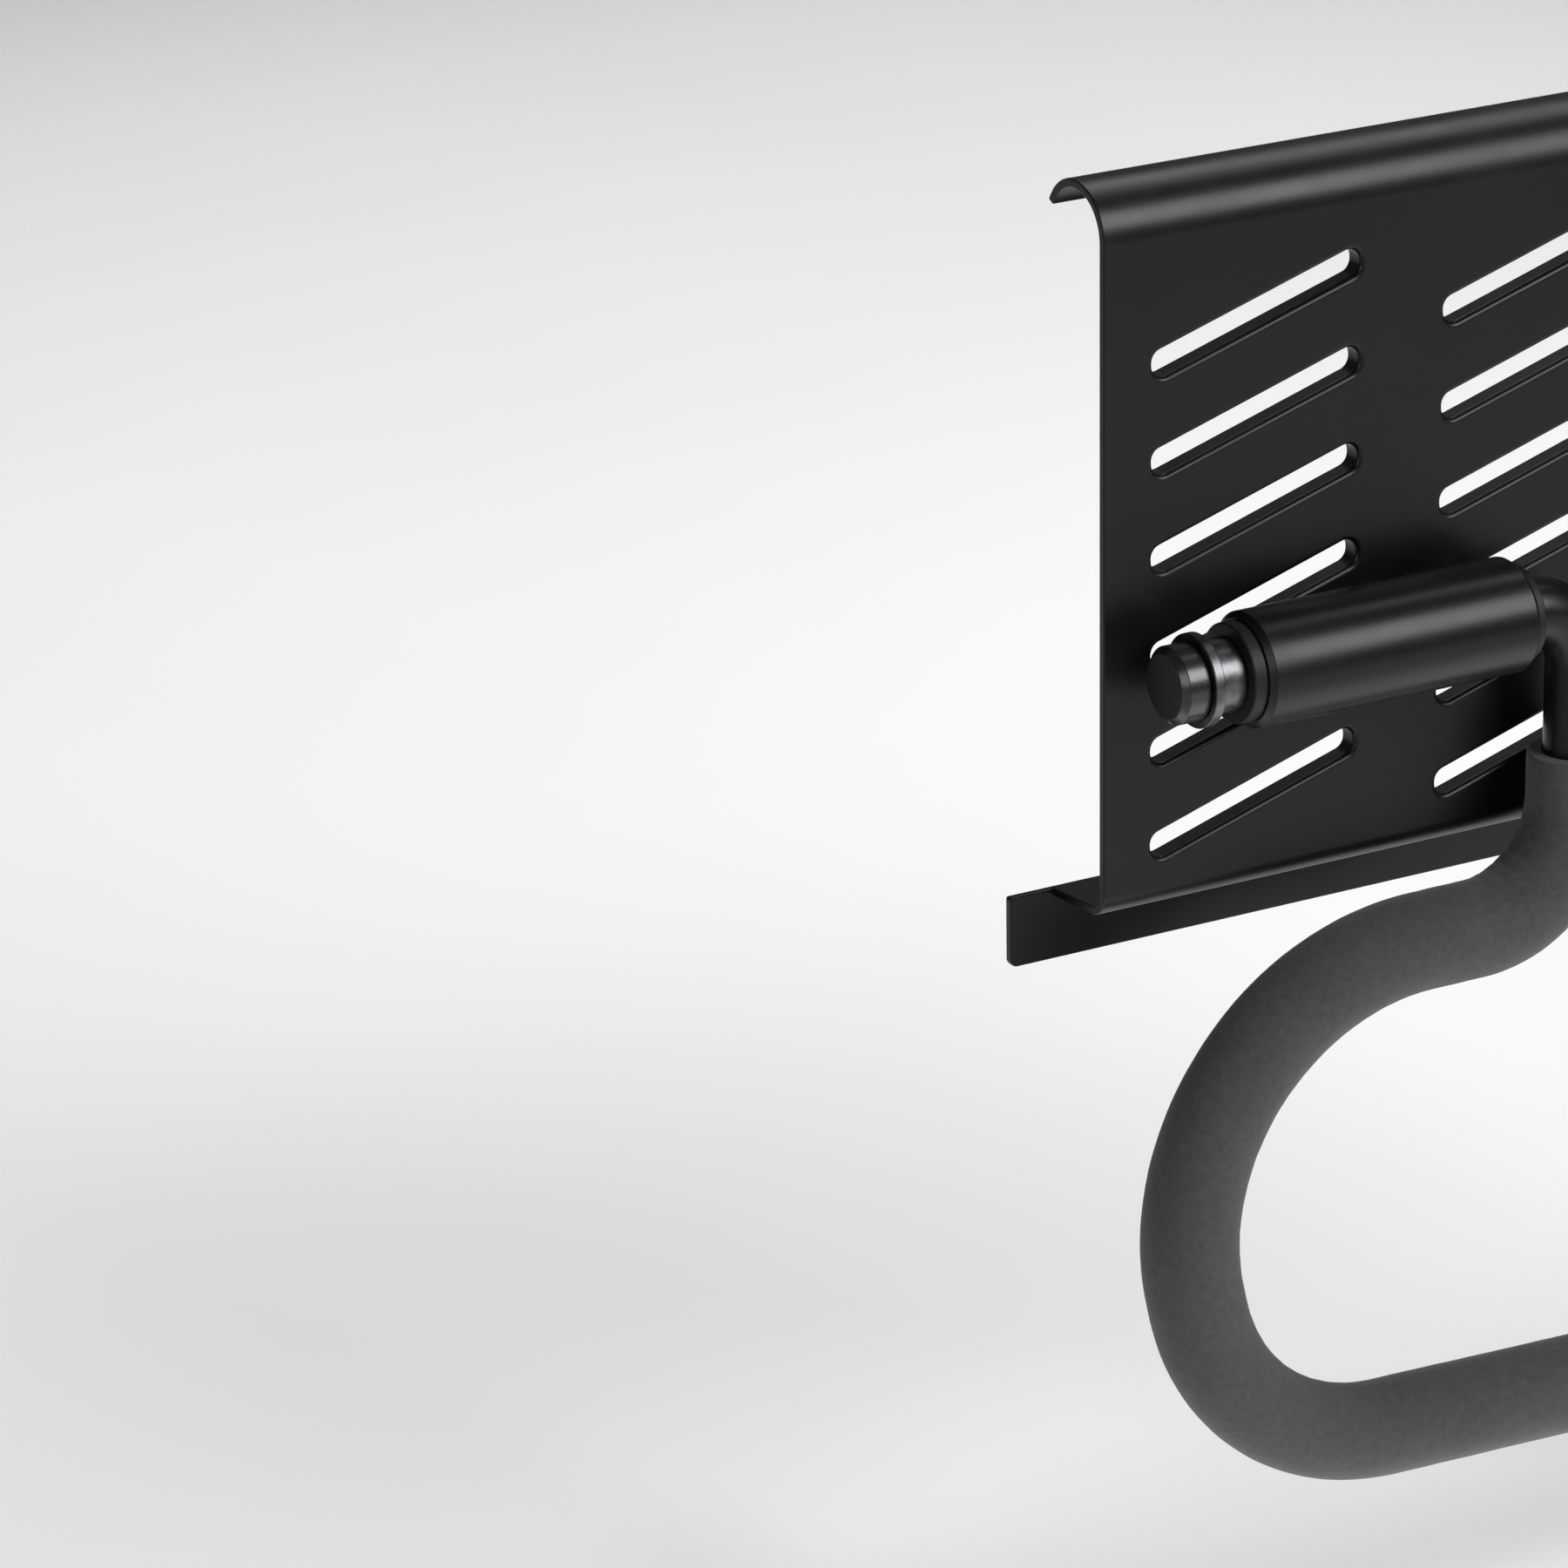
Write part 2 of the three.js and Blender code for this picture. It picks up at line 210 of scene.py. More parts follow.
def rounded_profile(corners, step=18):
    """A closed outline of (a, b, radius) corners as points, each corner turned into an arc."""
    points = []
    count = len(corners)
    for i, (a, b, radius) in enumerate(corners):
        here = np.array([a, b], float)
        before = np.array(corners[i - 1][:2], float)
        after = np.array(corners[(i + 1) % count][:2], float)
        if radius <= 0:
            points.append(here)
            continue
        inward, _, turn = turn_between(before, here, after)
        start = here - inward * radius * math.tan(abs(turn) / 2)
        side = np.array([-inward[1], inward[0]]) * math.copysign(1, turn)
        centre = start + side * radius
        steps = max(2, math.ceil(abs(math.degrees(turn)) / step))
        for k in range(steps + 1):
            angle = turn * k / steps
            spoke = start - centre
            cos, sin = math.cos(angle), math.sin(angle)
            points.append(centre + [spoke[0] * cos - spoke[1] * sin, spoke[0] * sin + spoke[1] * cos])
    return np.array(points)


def turned_rings(profile, side, sides=96):
    """A ring about the pivot axis, on one side, for each (distance outwards, radius)."""
    angles = np.arange(sides) * 2 * np.pi / sides
    return [np.c_[np.full(sides, side * outwards), PIVOT_Y + radius * np.cos(angles),
                  PIVOT_Z + radius * np.sin(angles)] for outwards, radius in profile]


def turned(profile, side, sides=96):
    """Turns a closed outline of (distance outwards, radius) about the pivot axis on one side."""
    return loft(turned_rings(profile, side, sides), closed_path=True)


def bent_line(corners, spacing):
    """A line of (x, z, radius) corners with rounded bends, as points about the given spacing apart.

    Gives each point with its heading, its signed curvature and its distance along the line.
    """
    parts = []
    at = [np.array(c[:2], float) for c in corners]
    cursor = at[0]
    for i in range(1, len(corners) - 1):
        inward, outward, turn = turn_between(at[i - 1], at[i], at[i + 1])
        radius = corners[i][2]
        start = at[i] - inward * radius * math.tan(abs(turn) / 2)
        parts.append(("line", cursor, inward, np.linalg.norm(start - cursor), 0))
        parts.append(("arc", start, inward, radius * abs(turn), math.copysign(1 / radius, turn)))
        cursor = at[i] + outward * radius * math.tan(abs(turn) / 2)
    last = (at[-1] - cursor) / np.linalg.norm(at[-1] - cursor)
    parts.append(("line", cursor, last, np.linalg.norm(at[-1] - cursor), 0))
    points, headings, curvatures, distances = [], [], [], []
    done = 0.0
    for kind, start, heading, length, curvature in parts:
        if length < 1e-6:
            continue
        steps = max(1, math.ceil(length / spacing))
        first = 0 if not points else 1
        for k in range(first, steps + 1):
            s = length * k / steps
            side = np.array([-heading[1], heading[0]])
            if kind == "line":
                points.append(start + heading * s)
                headings.append(heading)
            else:
                angle = s * curvature
                points.append(start + heading * math.sin(angle) / curvature
                              + side * (1 - math.cos(angle)) / curvature)
                headings.append(heading * math.cos(angle) + side * math.sin(angle))
            curvatures.append(curvature)
            distances.append(done + s)
        done += length
    return np.array(points), np.array(headings), np.array(curvatures), np.array(distances)


def loop_line(start_corners, spacing):
    left = [
        *start_corners,
        (-NECK_OFFSET, -SHOULDER_DROP, SHOULDER_BEND),
        (-SHOULDER_CORNER, -SHOULDER_DROP, SIDE_BEND),
        (-FOOT_CORNER, -FOOT_DROP, FOOT_BEND),
    ]
    right = [(-x, z, radius) for x, z, radius in reversed(left)]
    return bent_line([*left, (0, -BAR_DROP, BAR_BEND), *right], spacing)


def tube_rings(points, headings, radii, sides):
    """Rings round a line in the pivot plane. radii is one number, or a row of them for each station."""
    angles = np.arange(sides) * 2 * np.pi / sides
    side_x, side_z = -headings[:, 1], headings[:, 0]
    rings = np.zeros((len(points), sides, 3))
    rings[:, :, 0] = points[:, :1] + radii * np.cos(angles) * side_x[:, None]
    rings[:, :, 1] = PIVOT_Y + radii * np.sin(angles)
    rings[:, :, 2] = PIVOT_Z + points[:, 1:] + radii * np.cos(angles) * side_z[:, None]
    return rings


# ---- Materials ---------------------------------------------------------------


def node_tree(name):
    material = bpy.data.materials.new(name)
    material.use_nodes = True
    tree = material.node_tree
    return material, tree, tree.nodes["Principled BSDF"]


def add_node(tree, kind, **values):
    node = tree.nodes.new(kind)
    for key, value in values.items():
        if key in node.inputs:
            node.inputs[key].default_value = value
        else:
            setattr(node, key, value)
    return node


def place(tree):
    """The position on the object, in metres, which moves with its body."""
    return add_node(tree, "ShaderNodeTexCoord").outputs["Object"]


def noise(tree, where, scale, detail=3.0, roughness=0.5):
    node = add_node(tree, "ShaderNodeTexNoise", Scale=scale, Detail=detail, Roughness=roughness)
    tree.links.new(where, node.inputs["Vector"])
    return node.outputs["Fac"]


def remap(tree, value, from_low, from_high, to_low, to_high):
    node = add_node(tree, "ShaderNodeMapRange")
    node.inputs["From Min"].default_value = from_low
    node.inputs["From Max"].default_value = from_high
    node.inputs["To Min"].default_value = to_low
    node.inputs["To Max"].default_value = to_high
    tree.links.new(value, node.inputs["Value"])
    return node.outputs["Result"]


def math_node(tree, operation, first, second):
    node = add_node(tree, "ShaderNodeMath", operation=operation)
    for socket, value in zip(node.inputs, (first, second)):
        if isinstance(value, (int, float)):
            socket.default_value = value
        else:
            tree.links.new(value, socket)
    return node.outputs["Value"]


def blend_colours(tree, factor, dark, light):
    node = add_node(tree, "ShaderNodeMix", data_type="RGBA")
    tree.links.new(factor, node.inputs["Factor"])
    node.inputs[6].default_value = (*dark, 1)
    node.inputs[7].default_value = (*light, 1)
    return node.outputs[2]


def bumped(tree, shader, height, distance, strength=1.0, before=None):
    node = add_node(tree, "ShaderNodeBump", Strength=strength, Distance=distance)
    tree.links.new(height, node.inputs["Height"])
    if before is not None:
        tree.links.new(before, node.inputs["Normal"])
    tree.links.new(node.outputs["Normal"], shader.inputs["Normal"])
    return node.outputs["Normal"]


def powder_coat():
    """Black satin powder coat: fine orange peel over sheet that is not quite flat."""
    material, tree, shader = node_tree("black_powder_coat")
    where = place(tree)
    peel = noise(tree, where, 900, detail=2.0)
    grain = noise(tree, where, 3200, detail=2.0)
    cloud = noise(tree, where, 28, detail=4.0, roughness=0.6)
    ripple = noise(tree, where, 16, detail=1.0)
    tone = remap(tree, cloud, 0.3, 0.7, 0.0, 1.0)
    tree.links.new(blend_colours(tree, tone, (0.0016, 0.0016, 0.0018), (0.0034, 0.0033, 0.0035)),
                   shader.inputs["Base Color"])
    rough = math_node(tree, "ADD", remap(tree, cloud, 0.3, 0.7, 0.31, 0.39),
                      remap(tree, grain, 0.3, 0.7, -0.03, 0.03))
    tree.links.new(rough, shader.inputs["Roughness"])
    shader.inputs["Specular IOR Level"].default_value = 0.26
    wavy = bumped(tree, shader, ripple, 0.0006, strength=0.25)
    peeled = bumped(tree, shader, peel, 0.00004, strength=0.35, before=wavy)
    bumped(tree, shader, grain, 0.00001, strength=0.3, before=peeled)
    return material


def moulded_nylon(name, base, rough_low, rough_high, level):
    """Moulded black plastic with a fine spark texture and faint flow marks."""
    material, tree, shader = node_tree(name)
    where = place(tree)
    spark = noise(tree, where, 2400, detail=2.0)
    flow = noise(tree, where, 120, detail=3.0)
    tone = remap(tree, flow, 0.3, 0.7, 0.0, 1.0)
    dark, light = (tuple(v * factor for v in base) for factor in (0.85, 1.15))
    tree.links.new(blend_colours(tree, tone, dark, light), shader.inputs["Base Color"])
    tree.links.new(remap(tree, spark, 0.3, 0.7, rough_low, rough_high), shader.inputs["Roughness"])
    shader.inputs["Specular IOR Level"].default_value = level
    bumped(tree, shader, spark, 0.00002, strength=0.3)
    return material


def bare_steel():
    """Bare turned steel: fine rings round the axis and rubbed patches."""
    material, tree, shader = node_tree("bare_steel")
    where = place(tree)
    stretch = add_node(tree, "ShaderNodeMapping")
    stretch.inputs["Scale"].default_value = (1.0, 0.02, 0.02)
    tree.links.new(where, stretch.inputs["Vector"])
    rings = noise(tree, stretch.outputs["Vector"], 5200, detail=2.0)
    rub = noise(tree, where, 260, detail=4.0, roughness=0.6)
    tone = remap(tree, rub, 0.35, 0.7, 0.0, 1.0)
    tree.links.new(blend_colours(tree, tone, (0.075, 0.074, 0.077), (0.125, 0.123, 0.127)),
                   shader.inputs["Base Color"])
    shader.inputs["Metallic"].default_value = 1.0
    rough = math_node(tree, "ADD", remap(tree, rub, 0.3, 0.7, 0.28, 0.38),
                      remap(tree, rings, 0.3, 0.7, -0.03, 0.03))
    tree.links.new(rough, shader.inputs["Roughness"])
    bumped(tree, shader, rings, 0.000008, strength=0.35)
    return material


def foam():
    """Closed-cell foam with a matt skin: fine cells, soft mottling and a slight fuzz."""
    material, tree, shader = node_tree("grey_foam")
    where = place(tree)
    cells = add_node(tree, "ShaderNodeTexVoronoi", Scale=1500.0)
    tree.links.new(where, cells.inputs["Vector"])
    pores = noise(tree, where, 1100, detail=3.0, roughness=0.65)
    mottle = noise(tree, where, 420, detail=3.0, roughness=0.6)
    cloud = noise(tree, where, 30, detail=3.0, roughness=0.5)
    grain = math_node(tree, "ADD", math_node(tree, "MULTIPLY", mottle, 0.6),
                      math_node(tree, "MULTIPLY", pores, 0.4))
    tone = math_node(tree, "ADD", remap(tree, grain, 0.35, 0.65, 0.0, 0.8),
                     remap(tree, cloud, 0.35, 0.65, 0.0, 0.2))
    tree.links.new(blend_colours(tree, tone, (0.035, 0.0337, 0.036), (0.057, 0.0547, 0.058)),
                   shader.inputs["Base Color"])
    tree.links.new(remap(tree, pores, 0.3, 0.7, 0.82, 0.98), shader.inputs["Roughness"])
    shader.inputs["Specular IOR Level"].default_value = 0.3
    shader.inputs["Sheen Weight"].default_value = 0.12
    shader.inputs["Sheen Roughness"].default_value = 0.5
    lumps = bumped(tree, shader, mottle, 0.0004, strength=0.35)
    pored = bumped(tree, shader, pores, 0.0003, strength=0.4, before=lumps)
    bumped(tree, shader, cells.outputs["Distance"], 0.0002, strength=0.35, before=pored)
    return material


COAT = powder_coat()
BUSHING_NYLON = moulded_nylon("black_nylon", (0.006, 0.006, 0.0063), 0.46, 0.56, 0.25)
CAP_RIM = moulded_nylon("black_cap_rim", (0.008, 0.008, 0.0082), 0.24, 0.31, 0.55)
# the cap's end face is a darker, duller copy of the rim's black plastic: painted shade standing in for
# the shadowed hollow of the cap's end
CAP_FACE_PAINTED_SHADE = moulded_nylon("black_cap_face_painted_shade", (0.006, 0.006, 0.0062), 0.50, 0.60, 0.2)
STEEL = bare_steel()
FOAM = foam()

# ---- Back plate ----------------------------------------------------------------


def plate_outline():
    """The bent sheet's section as (y, z) points with outward normals.

    The last four numbers are the points where its two flat faces end.
    """
    curl = np.array([FRONT_Y + CURL_RADIUS, TOP_Z - CURL_RADIUS])
    foot_y = FRONT_Y + FOOT_BEND_RADIUS
    foot = np.array([foot_y, LEDGE_Z + (LEDGE_END_Y - foot_y) * math.tan(LEDGE_DROP)
                     + FOOT_BEND_RADIUS / math.cos(LEDGE_DROP)])
    slope = math.degrees(LEDGE_DROP)
    lean = slope / 57                 # the slope in radians, near enough for these two centres
    points, normals = [], []

    def add(point, normal):
        points.append(point)
        normals.append(normal)

    def arc(centre, radius, start, end, steps, sign=1):
        for k in range(steps + 1):
            angle = math.radians(start + (end - start) * k / steps)
            spoke = np.array([math.cos(angle), math.sin(angle)])
            add(centre + radius * spoke, sign * spoke)

    e = SHEET_EDGE
    # outer side, from the ledge's end round the foot bend, up the face and over the curl
    ledge_top = LEDGE_Z + SHEET / math.cos(LEDGE_DROP)
    arc(np.array([LEDGE_END_Y - e, LEDGE_Z + e * (1 + lean)]), e, 0, -90 - slope, 4)
    arc(foot, FOOT_BEND_RADIUS, -90 - slope, -180, 12)
    outer_low = len(points) - 1
    outer_high = len(points)
    arc(curl, CURL_RADIUS, 180, CURL_END_ANGLE + math.degrees(e / CURL_RADIUS), 44)
    # the lip's rounded end
    lip = math.radians(CURL_END_ANGLE)
    along = np.array([math.cos(lip), math.sin(lip)])
    across = np.array([-math.sin(lip), math.cos(lip)])
    tip = curl + across * e
    arc(tip + along * (CURL_RADIUS - e), e, CURL_END_ANGLE, CURL_END_ANGLE - 90, 4)
    arc(tip + along * (CURL_RADIUS - SHEET + e), e, CURL_END_ANGLE - 90, CURL_END_ANGLE - 180, 4)
    # inner side, back under the curl and down to the ledge
    arc(curl, CURL_RADIUS - SHEET, CURL_END_ANGLE + math.degrees(e / CURL_RADIUS), 180, 44, sign=-1)
    inner_high = len(points) - 1
    inner_low = len(points)
    arc(foot, FOOT_BEND_RADIUS - SHEET, 180, 270 - slope, 12, sign=-1)
    arc(np.array([LEDGE_END_Y - e, ledge_top - e * (1 - lean)]), e, 90 - slope, 0, 4)
    return np.array(points), np.array(normals), (outer_low, outer_high, inner_high, inner_low)


def slot_ring(centre, margin, y, steps=9):
    """The slot's outline grown by a margin, as points round it in the plane y."""
    half_length = SLOT_LENGTH / 2
    half_opening = SLOT_OPENING / 2
    ring = []
    corners = [np.array([a * half_length, SLOT_SLOPE * a * half_length + b * half_opening])
               for a, b in ((-1, -1), (1, -1), (1, 1), (-1, 1))]
    for i, here in enumerate(corners):
        before, after = corners[i - 1], corners[(i + 1) % 4]
        inward, _, turn = turn_between(before, here, after)
        start = here - inward * SLOT_CORNER * math.tan(turn / 2)
        middle = start + np.array([-inward[1], inward[0]]) * SLOT_CORNER
        first = math.atan2(-inward[0], inward[1])
        for k in range(steps + 1):
            angle = first + turn * k / steps
            point = middle + (SLOT_CORNER + margin) * np.array([math.cos(angle), math.sin(angle)])
            ring.append([centre[0] + point[0], y, centre[1] + point[1]])
    return np.array(ring)


def slot_centres():
    first_x = -HALF_WIDTH + SLOT_SIDE_MARGIN + SLOT_LENGTH / 2
    first_z = LEDGE_Z + LOWEST_SLOT + SLOT_OPENING / 2 + SLOT_SLOPE * SLOT_LENGTH / 2
    return [(first_x + column * SLOT_COLUMN_PITCH, first_z + row * SLOT_ROW_PITCH)
            for column in range(SLOT_COLUMNS) for row in range(SLOT_ROWS)]


def slot_profile():
    """(margin, y) from the front face over the rim, down the lip and back to the rear face."""
    depth = BACK_Y + SLOT_LIP
    profile = [(SLOT_RIM + RIM_BORDER, FRONT_Y)]
    for angle in quarter(8):
        profile.append((SLOT_RIM * (1 - math.sin(angle)), FRONT_Y + SLOT_RIM * (1 - math.cos(angle))))
    for angle in quarter(4):
        profile.append((LIP_EDGE * (1 - math.cos(angle)), depth - LIP_EDGE * (1 - math.sin(angle))))
    for angle in quarter(4):
        profile.append((SLOT_LIP_WALL - LIP_EDGE * (1 - math.sin(angle)),
                        depth - LIP_EDGE * (1 - math.cos(angle))))
    for angle in quarter(6):
        profile.append((SLOT_LIP_WALL + SLOT_LIP_FILLET * (1 - math.cos(angle)),
                        BACK_Y + SLOT_LIP_FILLET * (1 - math.sin(angle))))
    profile.append((SLOT_LIP_WALL + SLOT_LIP_FILLET + FILLET_BORDER, BACK_Y))
    return profile


def build_plate():
    outline, normals, (outer_low, outer_high, inner_high, inner_low) = plate_outline()
    count = len(outline)
    made = bmesh.new()

    def add_ring(x, inset):
        flat = outline - normals * inset
        return [made.verts.new((x, y, z)) for y, z in flat]

    left, right = [], []
    for angle in quarter(4):
        inset = END_EDGE * (1 - math.sin(angle))
        reach = HALF_WIDTH - END_EDGE * (1 - math.cos(angle))
        left.append(add_ring(-reach, inset))
        right.append(add_ring(reach, inset))
    rings = [*left, *reversed(right)]
    # the two flat faces are left open here, and filled round the slots below
    skipped = {outer_low, inner_high}
    for i in range(len(rings) - 1):
        for k in range(count):
            if i == len(left) - 1 and k in skipped:
                continue
            m = (k + 1) % count
            made.faces.new((rings[i][k], rings[i][m], rings[i + 1][m], rings[i + 1][k]))
    made.faces.new(left[0])
    made.faces.new(list(reversed(right[0])))

    def flat_edges(low, high):
        """The boundary of a flat face, which the slots then pierce."""
        a, b = rings[len(left) - 1], rings[len(left)]
        corners = [a[low], b[low], b[high], a[high]]
        found = []
        for i in range(4):
            pair = (corners[i], corners[(i + 1) % 4])
            found.append(made.edges.get(pair) or made.edges.new(pair))
        return found

    front_edges = flat_edges(outer_low, outer_high)
    back_edges = flat_edges(inner_low, inner_high)
    profile = slot_profile()
    for centre in slot_centres():
        loops = [[made.verts.new(p) for p in slot_ring(centre, margin, y)] for margin, y in profile]
        size = len(loops[0])
        for i in range(len(loops) - 1):
            for k in range(size):
                m = (k + 1) % size
                made.faces.new((loops[i][k], loops[i][m], loops[i + 1][m], loops[i + 1][k]))
        front_edges += [made.edges.get((loops[0][k], loops[0][(k + 1) % size])) for k in range(size)]
        back_edges += [made.edges.get((loops[-1][k], loops[-1][(k + 1) % size])) for k in range(size)]
    for edges in (front_edges, back_edges):
        bmesh.ops.triangle_fill(made, use_beauty=True, use_dissolve=False, edges=edges)
    made.verts.index_update()
    points = [tuple(v.co) for v in made.verts]
    faces = [[v.index for v in f.verts] for f in made.faces]
    made.free()
    plate = add_piece("plate_sheet", points, faces, [COAT], "wall_plate", ["back_plate"])
    weigh_normals(plate)


def build_strip():
    half_width = strip_high[0]
    half_height = strip_high[2]
    top = STRIP_CORNER / 3
    base = [(-half_width, -half_height, STRIP_CORNER), (half_width, -half_height, STRIP_CORNER),
            (half_width, half_height, top), (-half_width, half_height, top)]

    def outline(inset, y):
        corners = [(x - math.copysign(inset, x), z - math.copysign(inset, z), max(radius - inset, 0.05))
                   for x, z, radius in base]
        flat = rounded_profile(corners, step=12)
        return np.array([[x, y, z] for x, z in flat])

    rings = []
    for angle in quarter(4):
        inset, back = END_EDGE * (1 - math.sin(angle)), END_EDGE * (1 - math.cos(angle))
        rings.append(outline(inset, strip_low[1] + back))
    for angle in quarter(4):
        inset, back = END_EDGE * (1 - math.cos(angle)), END_EDGE * (1 - math.sin(angle))
        rings.append(outline(inset, strip_high[1] - back))
    points, faces = loft(rings)
    strip = add_piece("wall_strip_bar", points, faces, [COAT], "wall_plate", ["wall_strip"])
    weigh_normals(strip)


# ---- Welds ----------------------------------------------------------------------


def weld_bead(start, direction, length, radius, seed):
    """A stitch of weld to the left or right: a row of overlapping ripples with tapered ends."""
    phase = np.random.default_rng(seed).uniform(0, 2 * np.pi)
    sides = 20
    angles = np.arange(sides) * 2 * np.pi / sides
    circle = np.c_[np.zeros(sides), -direction * np.cos(angles), np.sin(angles)]
    taper_length = 1.6 * radius
    stations = int(length / 0.25)
    rings = []
    for i in range(stations + 1):
        s = length * i / stations
        from_end = min(s, length - s, taper_length)
        taper = max(math.sqrt(1 - (1 - from_end / taper_length) ** 2), 0.02)
        ripple = 1 + 0.07 * abs(math.sin(math.pi * s / 1.5 + phase)) + 0.03 * math.sin(s * 1.1 + phase)
        drift = 0.08 * radius * math.sin(s * 0.7 + phase)
        centre = np.add(start, (direction * s, 0, drift))
        rings.append(centre + 0.92 * radius * ripple * taper * circle)
    return loft(rings)


def build_welds():
    """The stitches that hold the barrels and the strip on the plate."""
    gap = FIT_GAP + BARREL_RADIUS
    rise = math.sqrt((BARREL_RADIUS + WELD_RADIUS) ** 2 - (gap - WELD_RADIUS) ** 2)
    spots = []
    for side in (-1, 1):
        for level in (-1, 1):
            for first in WELD_STARTS:
                start = (side * first, FRONT_Y - WELD_RADIUS, PIVOT_Z + level * rise)
                spots.append((start, side, WELD_LENGTH, WELD_RADIUS))
    for first in STRIP_WELD_STARTS:
        start = (first, LEDGE_END_Y - 0.9, LEDGE_Z - 0.6)
        spots.append((start, 1, STRIP_WELD_LENGTH, STRIP_WELD_RADIUS))
    points, faces = np.zeros((0, 3)), []
    for seed, spot in enumerate(spots, 1):
        bead_points, bead_faces = weld_bead(*spot, seed)
        faces += [tuple(v + len(points) for v in face) for face in bead_faces]
        points = np.concatenate([points, bead_points])
    add_piece("weld_beads", points, faces, [COAT], "wall_plate", [])


# ---- Pivots ----------------------------------------------------------------------


def build_barrel(hand, side):
    inner, outer, radius = outward_span(f"pivot_barrel_{hand}")
    chamfer, bevel = BARREL_CHAMFER, BARREL_INNER_CHAMFER
    profile = rounded_profile([
        (inner, BARREL_BORE, 0.3), (inner, radius - bevel, 0.25), (inner + bevel, radius, 0.5),
        (outer - chamfer, radius, 0.5), (outer, radius - chamfer, 0.25), (outer, BARREL_BORE, 0.3)])
    points, faces = turned(profile, side, sides=128)
    barrel = add_piece(f"barrel_{hand}", points, faces, [COAT], "wall_plate",
                       [f"pivot_barrel_{hand}"])
    weigh_normals(barrel)


def build_bushings(hand, side):
    inner, outer, _ = outward_span(f"pivot_barrel_{hand}")
    for place_name, barrel_end, flange, away in (("outer", outer, OUTER_FLANGE, 1),
                                                 ("inner", inner, INNER_FLANGE, -1)):
        node = f"bushing_{place_name}_{hand}"
        flange_radius = outward_span(node)[2]
        start = barrel_end + away * FLANGE_GAP
        end = barrel_end + away * (FIT_GAP + flange)
        sleeve_end = barrel_end - away * BUSHING_DEPTH
        bore = TUBE_RADIUS + FIT_GAP
        sleeve = BARREL_BORE - FIT_GAP
        profile = rounded_profile([
            (sleeve_end, bore, 0.2), (sleeve_end, sleeve, 0.4), (start, sleeve, 0),
            (start, flange_radius, 0.3), (end, flange_radius, 0.6), (end, bore, 0.4)])
        points, faces = turned(profile, side)
        bushing = add_piece(f"bushing_{place_name}_ring_{hand}", points, faces, [BUSHING_NYLON],
                            "wall_plate", [node])
        weigh_normals(bushing)


def build_rings(hand, side):
    """The spacer and the washer that sit on the bare end of the shaft."""
    bore = TUBE_RADIUS + SHAFT_CLEARANCE
    for name, node, edge in (("spacer", "shaft_spacer", 0.3), ("washer", "retaining_washer", 0.35)):
        inner, outer, radius = outward_span(f"{node}_{hand}")
        profile = rounded_profile([
            (inner, bore, 0.2), (inner, radius, edge), (outer, radius, edge), (outer, bore, 0.2)])
        points, faces = turned(profile, side)
        ring = add_piece(f"{name}_{hand}", points, faces, [STEEL], "swing_loop",
                         [f"{node}_{hand}"])
        weigh_normals(ring)


def build_cap(hand, side):
    """The cup over the shaft's end, with a smoother rim than face; the face's darker colour is painted
    shade.
    """
    bore = TUBE_RADIUS + SHAFT_CLEARANCE
    inner, outer, radius = outward_span(f"end_cap_{hand}")
    section = rounded_profile([
        (outer - CAP_END_WALL, bore, 0.2), (inner, bore, 0.2), (inner, radius, 0.4),
        (outer - CAP_CHAMFER, radius, 0.5), (outer, radius - CAP_CHAMFER, 0.5), (outer, 0, 0),
        (outer - CAP_END_WALL, 0, 0)])
    points, faces = loft(turned_rings(section[:-2], side))
    cap = add_piece(f"cap_{hand}", points, faces, [CAP_RIM, CAP_FACE_PAINTED_SHADE], "swing_loop",
                    [f"end_cap_{hand}"])
    # faces looking along the axis get the darker face material, which is painted shade
    for face in cap.data.polygons:
        if abs(face.normal.x) > 0.95:
            face.material_index = 1
    weigh_normals(cap)


# ---- Loop and foam ------------------------------------------------------------------


def build_tube():
    shaft_end = outward_span("end_cap_left")[1] - CAP_END_WALL - FIT_GAP
    corners = [(-shaft_end, 0, 0), (-NECK_OFFSET, 0, NECK_BEND)]
    points, headings, _, _ = loop_line(corners, 1.6)
    outside = tube_rings(points, headings, TUBE_RADIUS, 64)
    inside = tube_rings(points, headings, TUBE_RADIUS - TUBE_WALL, 64)
    mesh_points, faces = loft([*outside, *inside[::-1]], closed_path=True)
    tube = add_piece("loop_tube_bent", mesh_points, faces, [COAT, STEEL], "swing_loop",
                     ["loop_tube"])
    # the shaft is bare steel from just inside the barrel's outer end
    bare_from = (BARREL_OUTER_END - 2) * MM
    for face in tube.data.polygons:
        if abs(face.center.x) > bare_from and abs(face.center.z - PIVOT_Z * MM) < 0.02:
            face.material_index = 1
    weigh_normals(tube)


def smooth_noise(shape, cells, seed):
    """Soft random waves over a grid whose second direction closes on itself, from -1 to 1."""
    random = np.random.default_rng(seed)
    along, around = shape
    cells_along, cells_around = cells
    knots = random.uniform(-1, 1, (cells_along + 3, cells_around))
    s = np.linspace(0, cells_along, along)
    t = np.arange(around) * cells_around / around
    i, j = np.floor(s).astype(int), np.floor(t).astype(int)
    u, v = s - i, t - j
    u, v = u * u * (3 - 2 * u), v * v * (3 - 2 * v)
    a = knots[i][:, j % cells_around]
    b = knots[i + 1][:, j % cells_around]
    c = knots[i][:, (j + 1) % cells_around]
    d = knots[i + 1][:, (j + 1) % cells_around]
    u, v = u[:, None], v[None, :]
    return (a * (1 - u) + b * u) * (1 - v) + (c * (1 - u) + d * u) * v


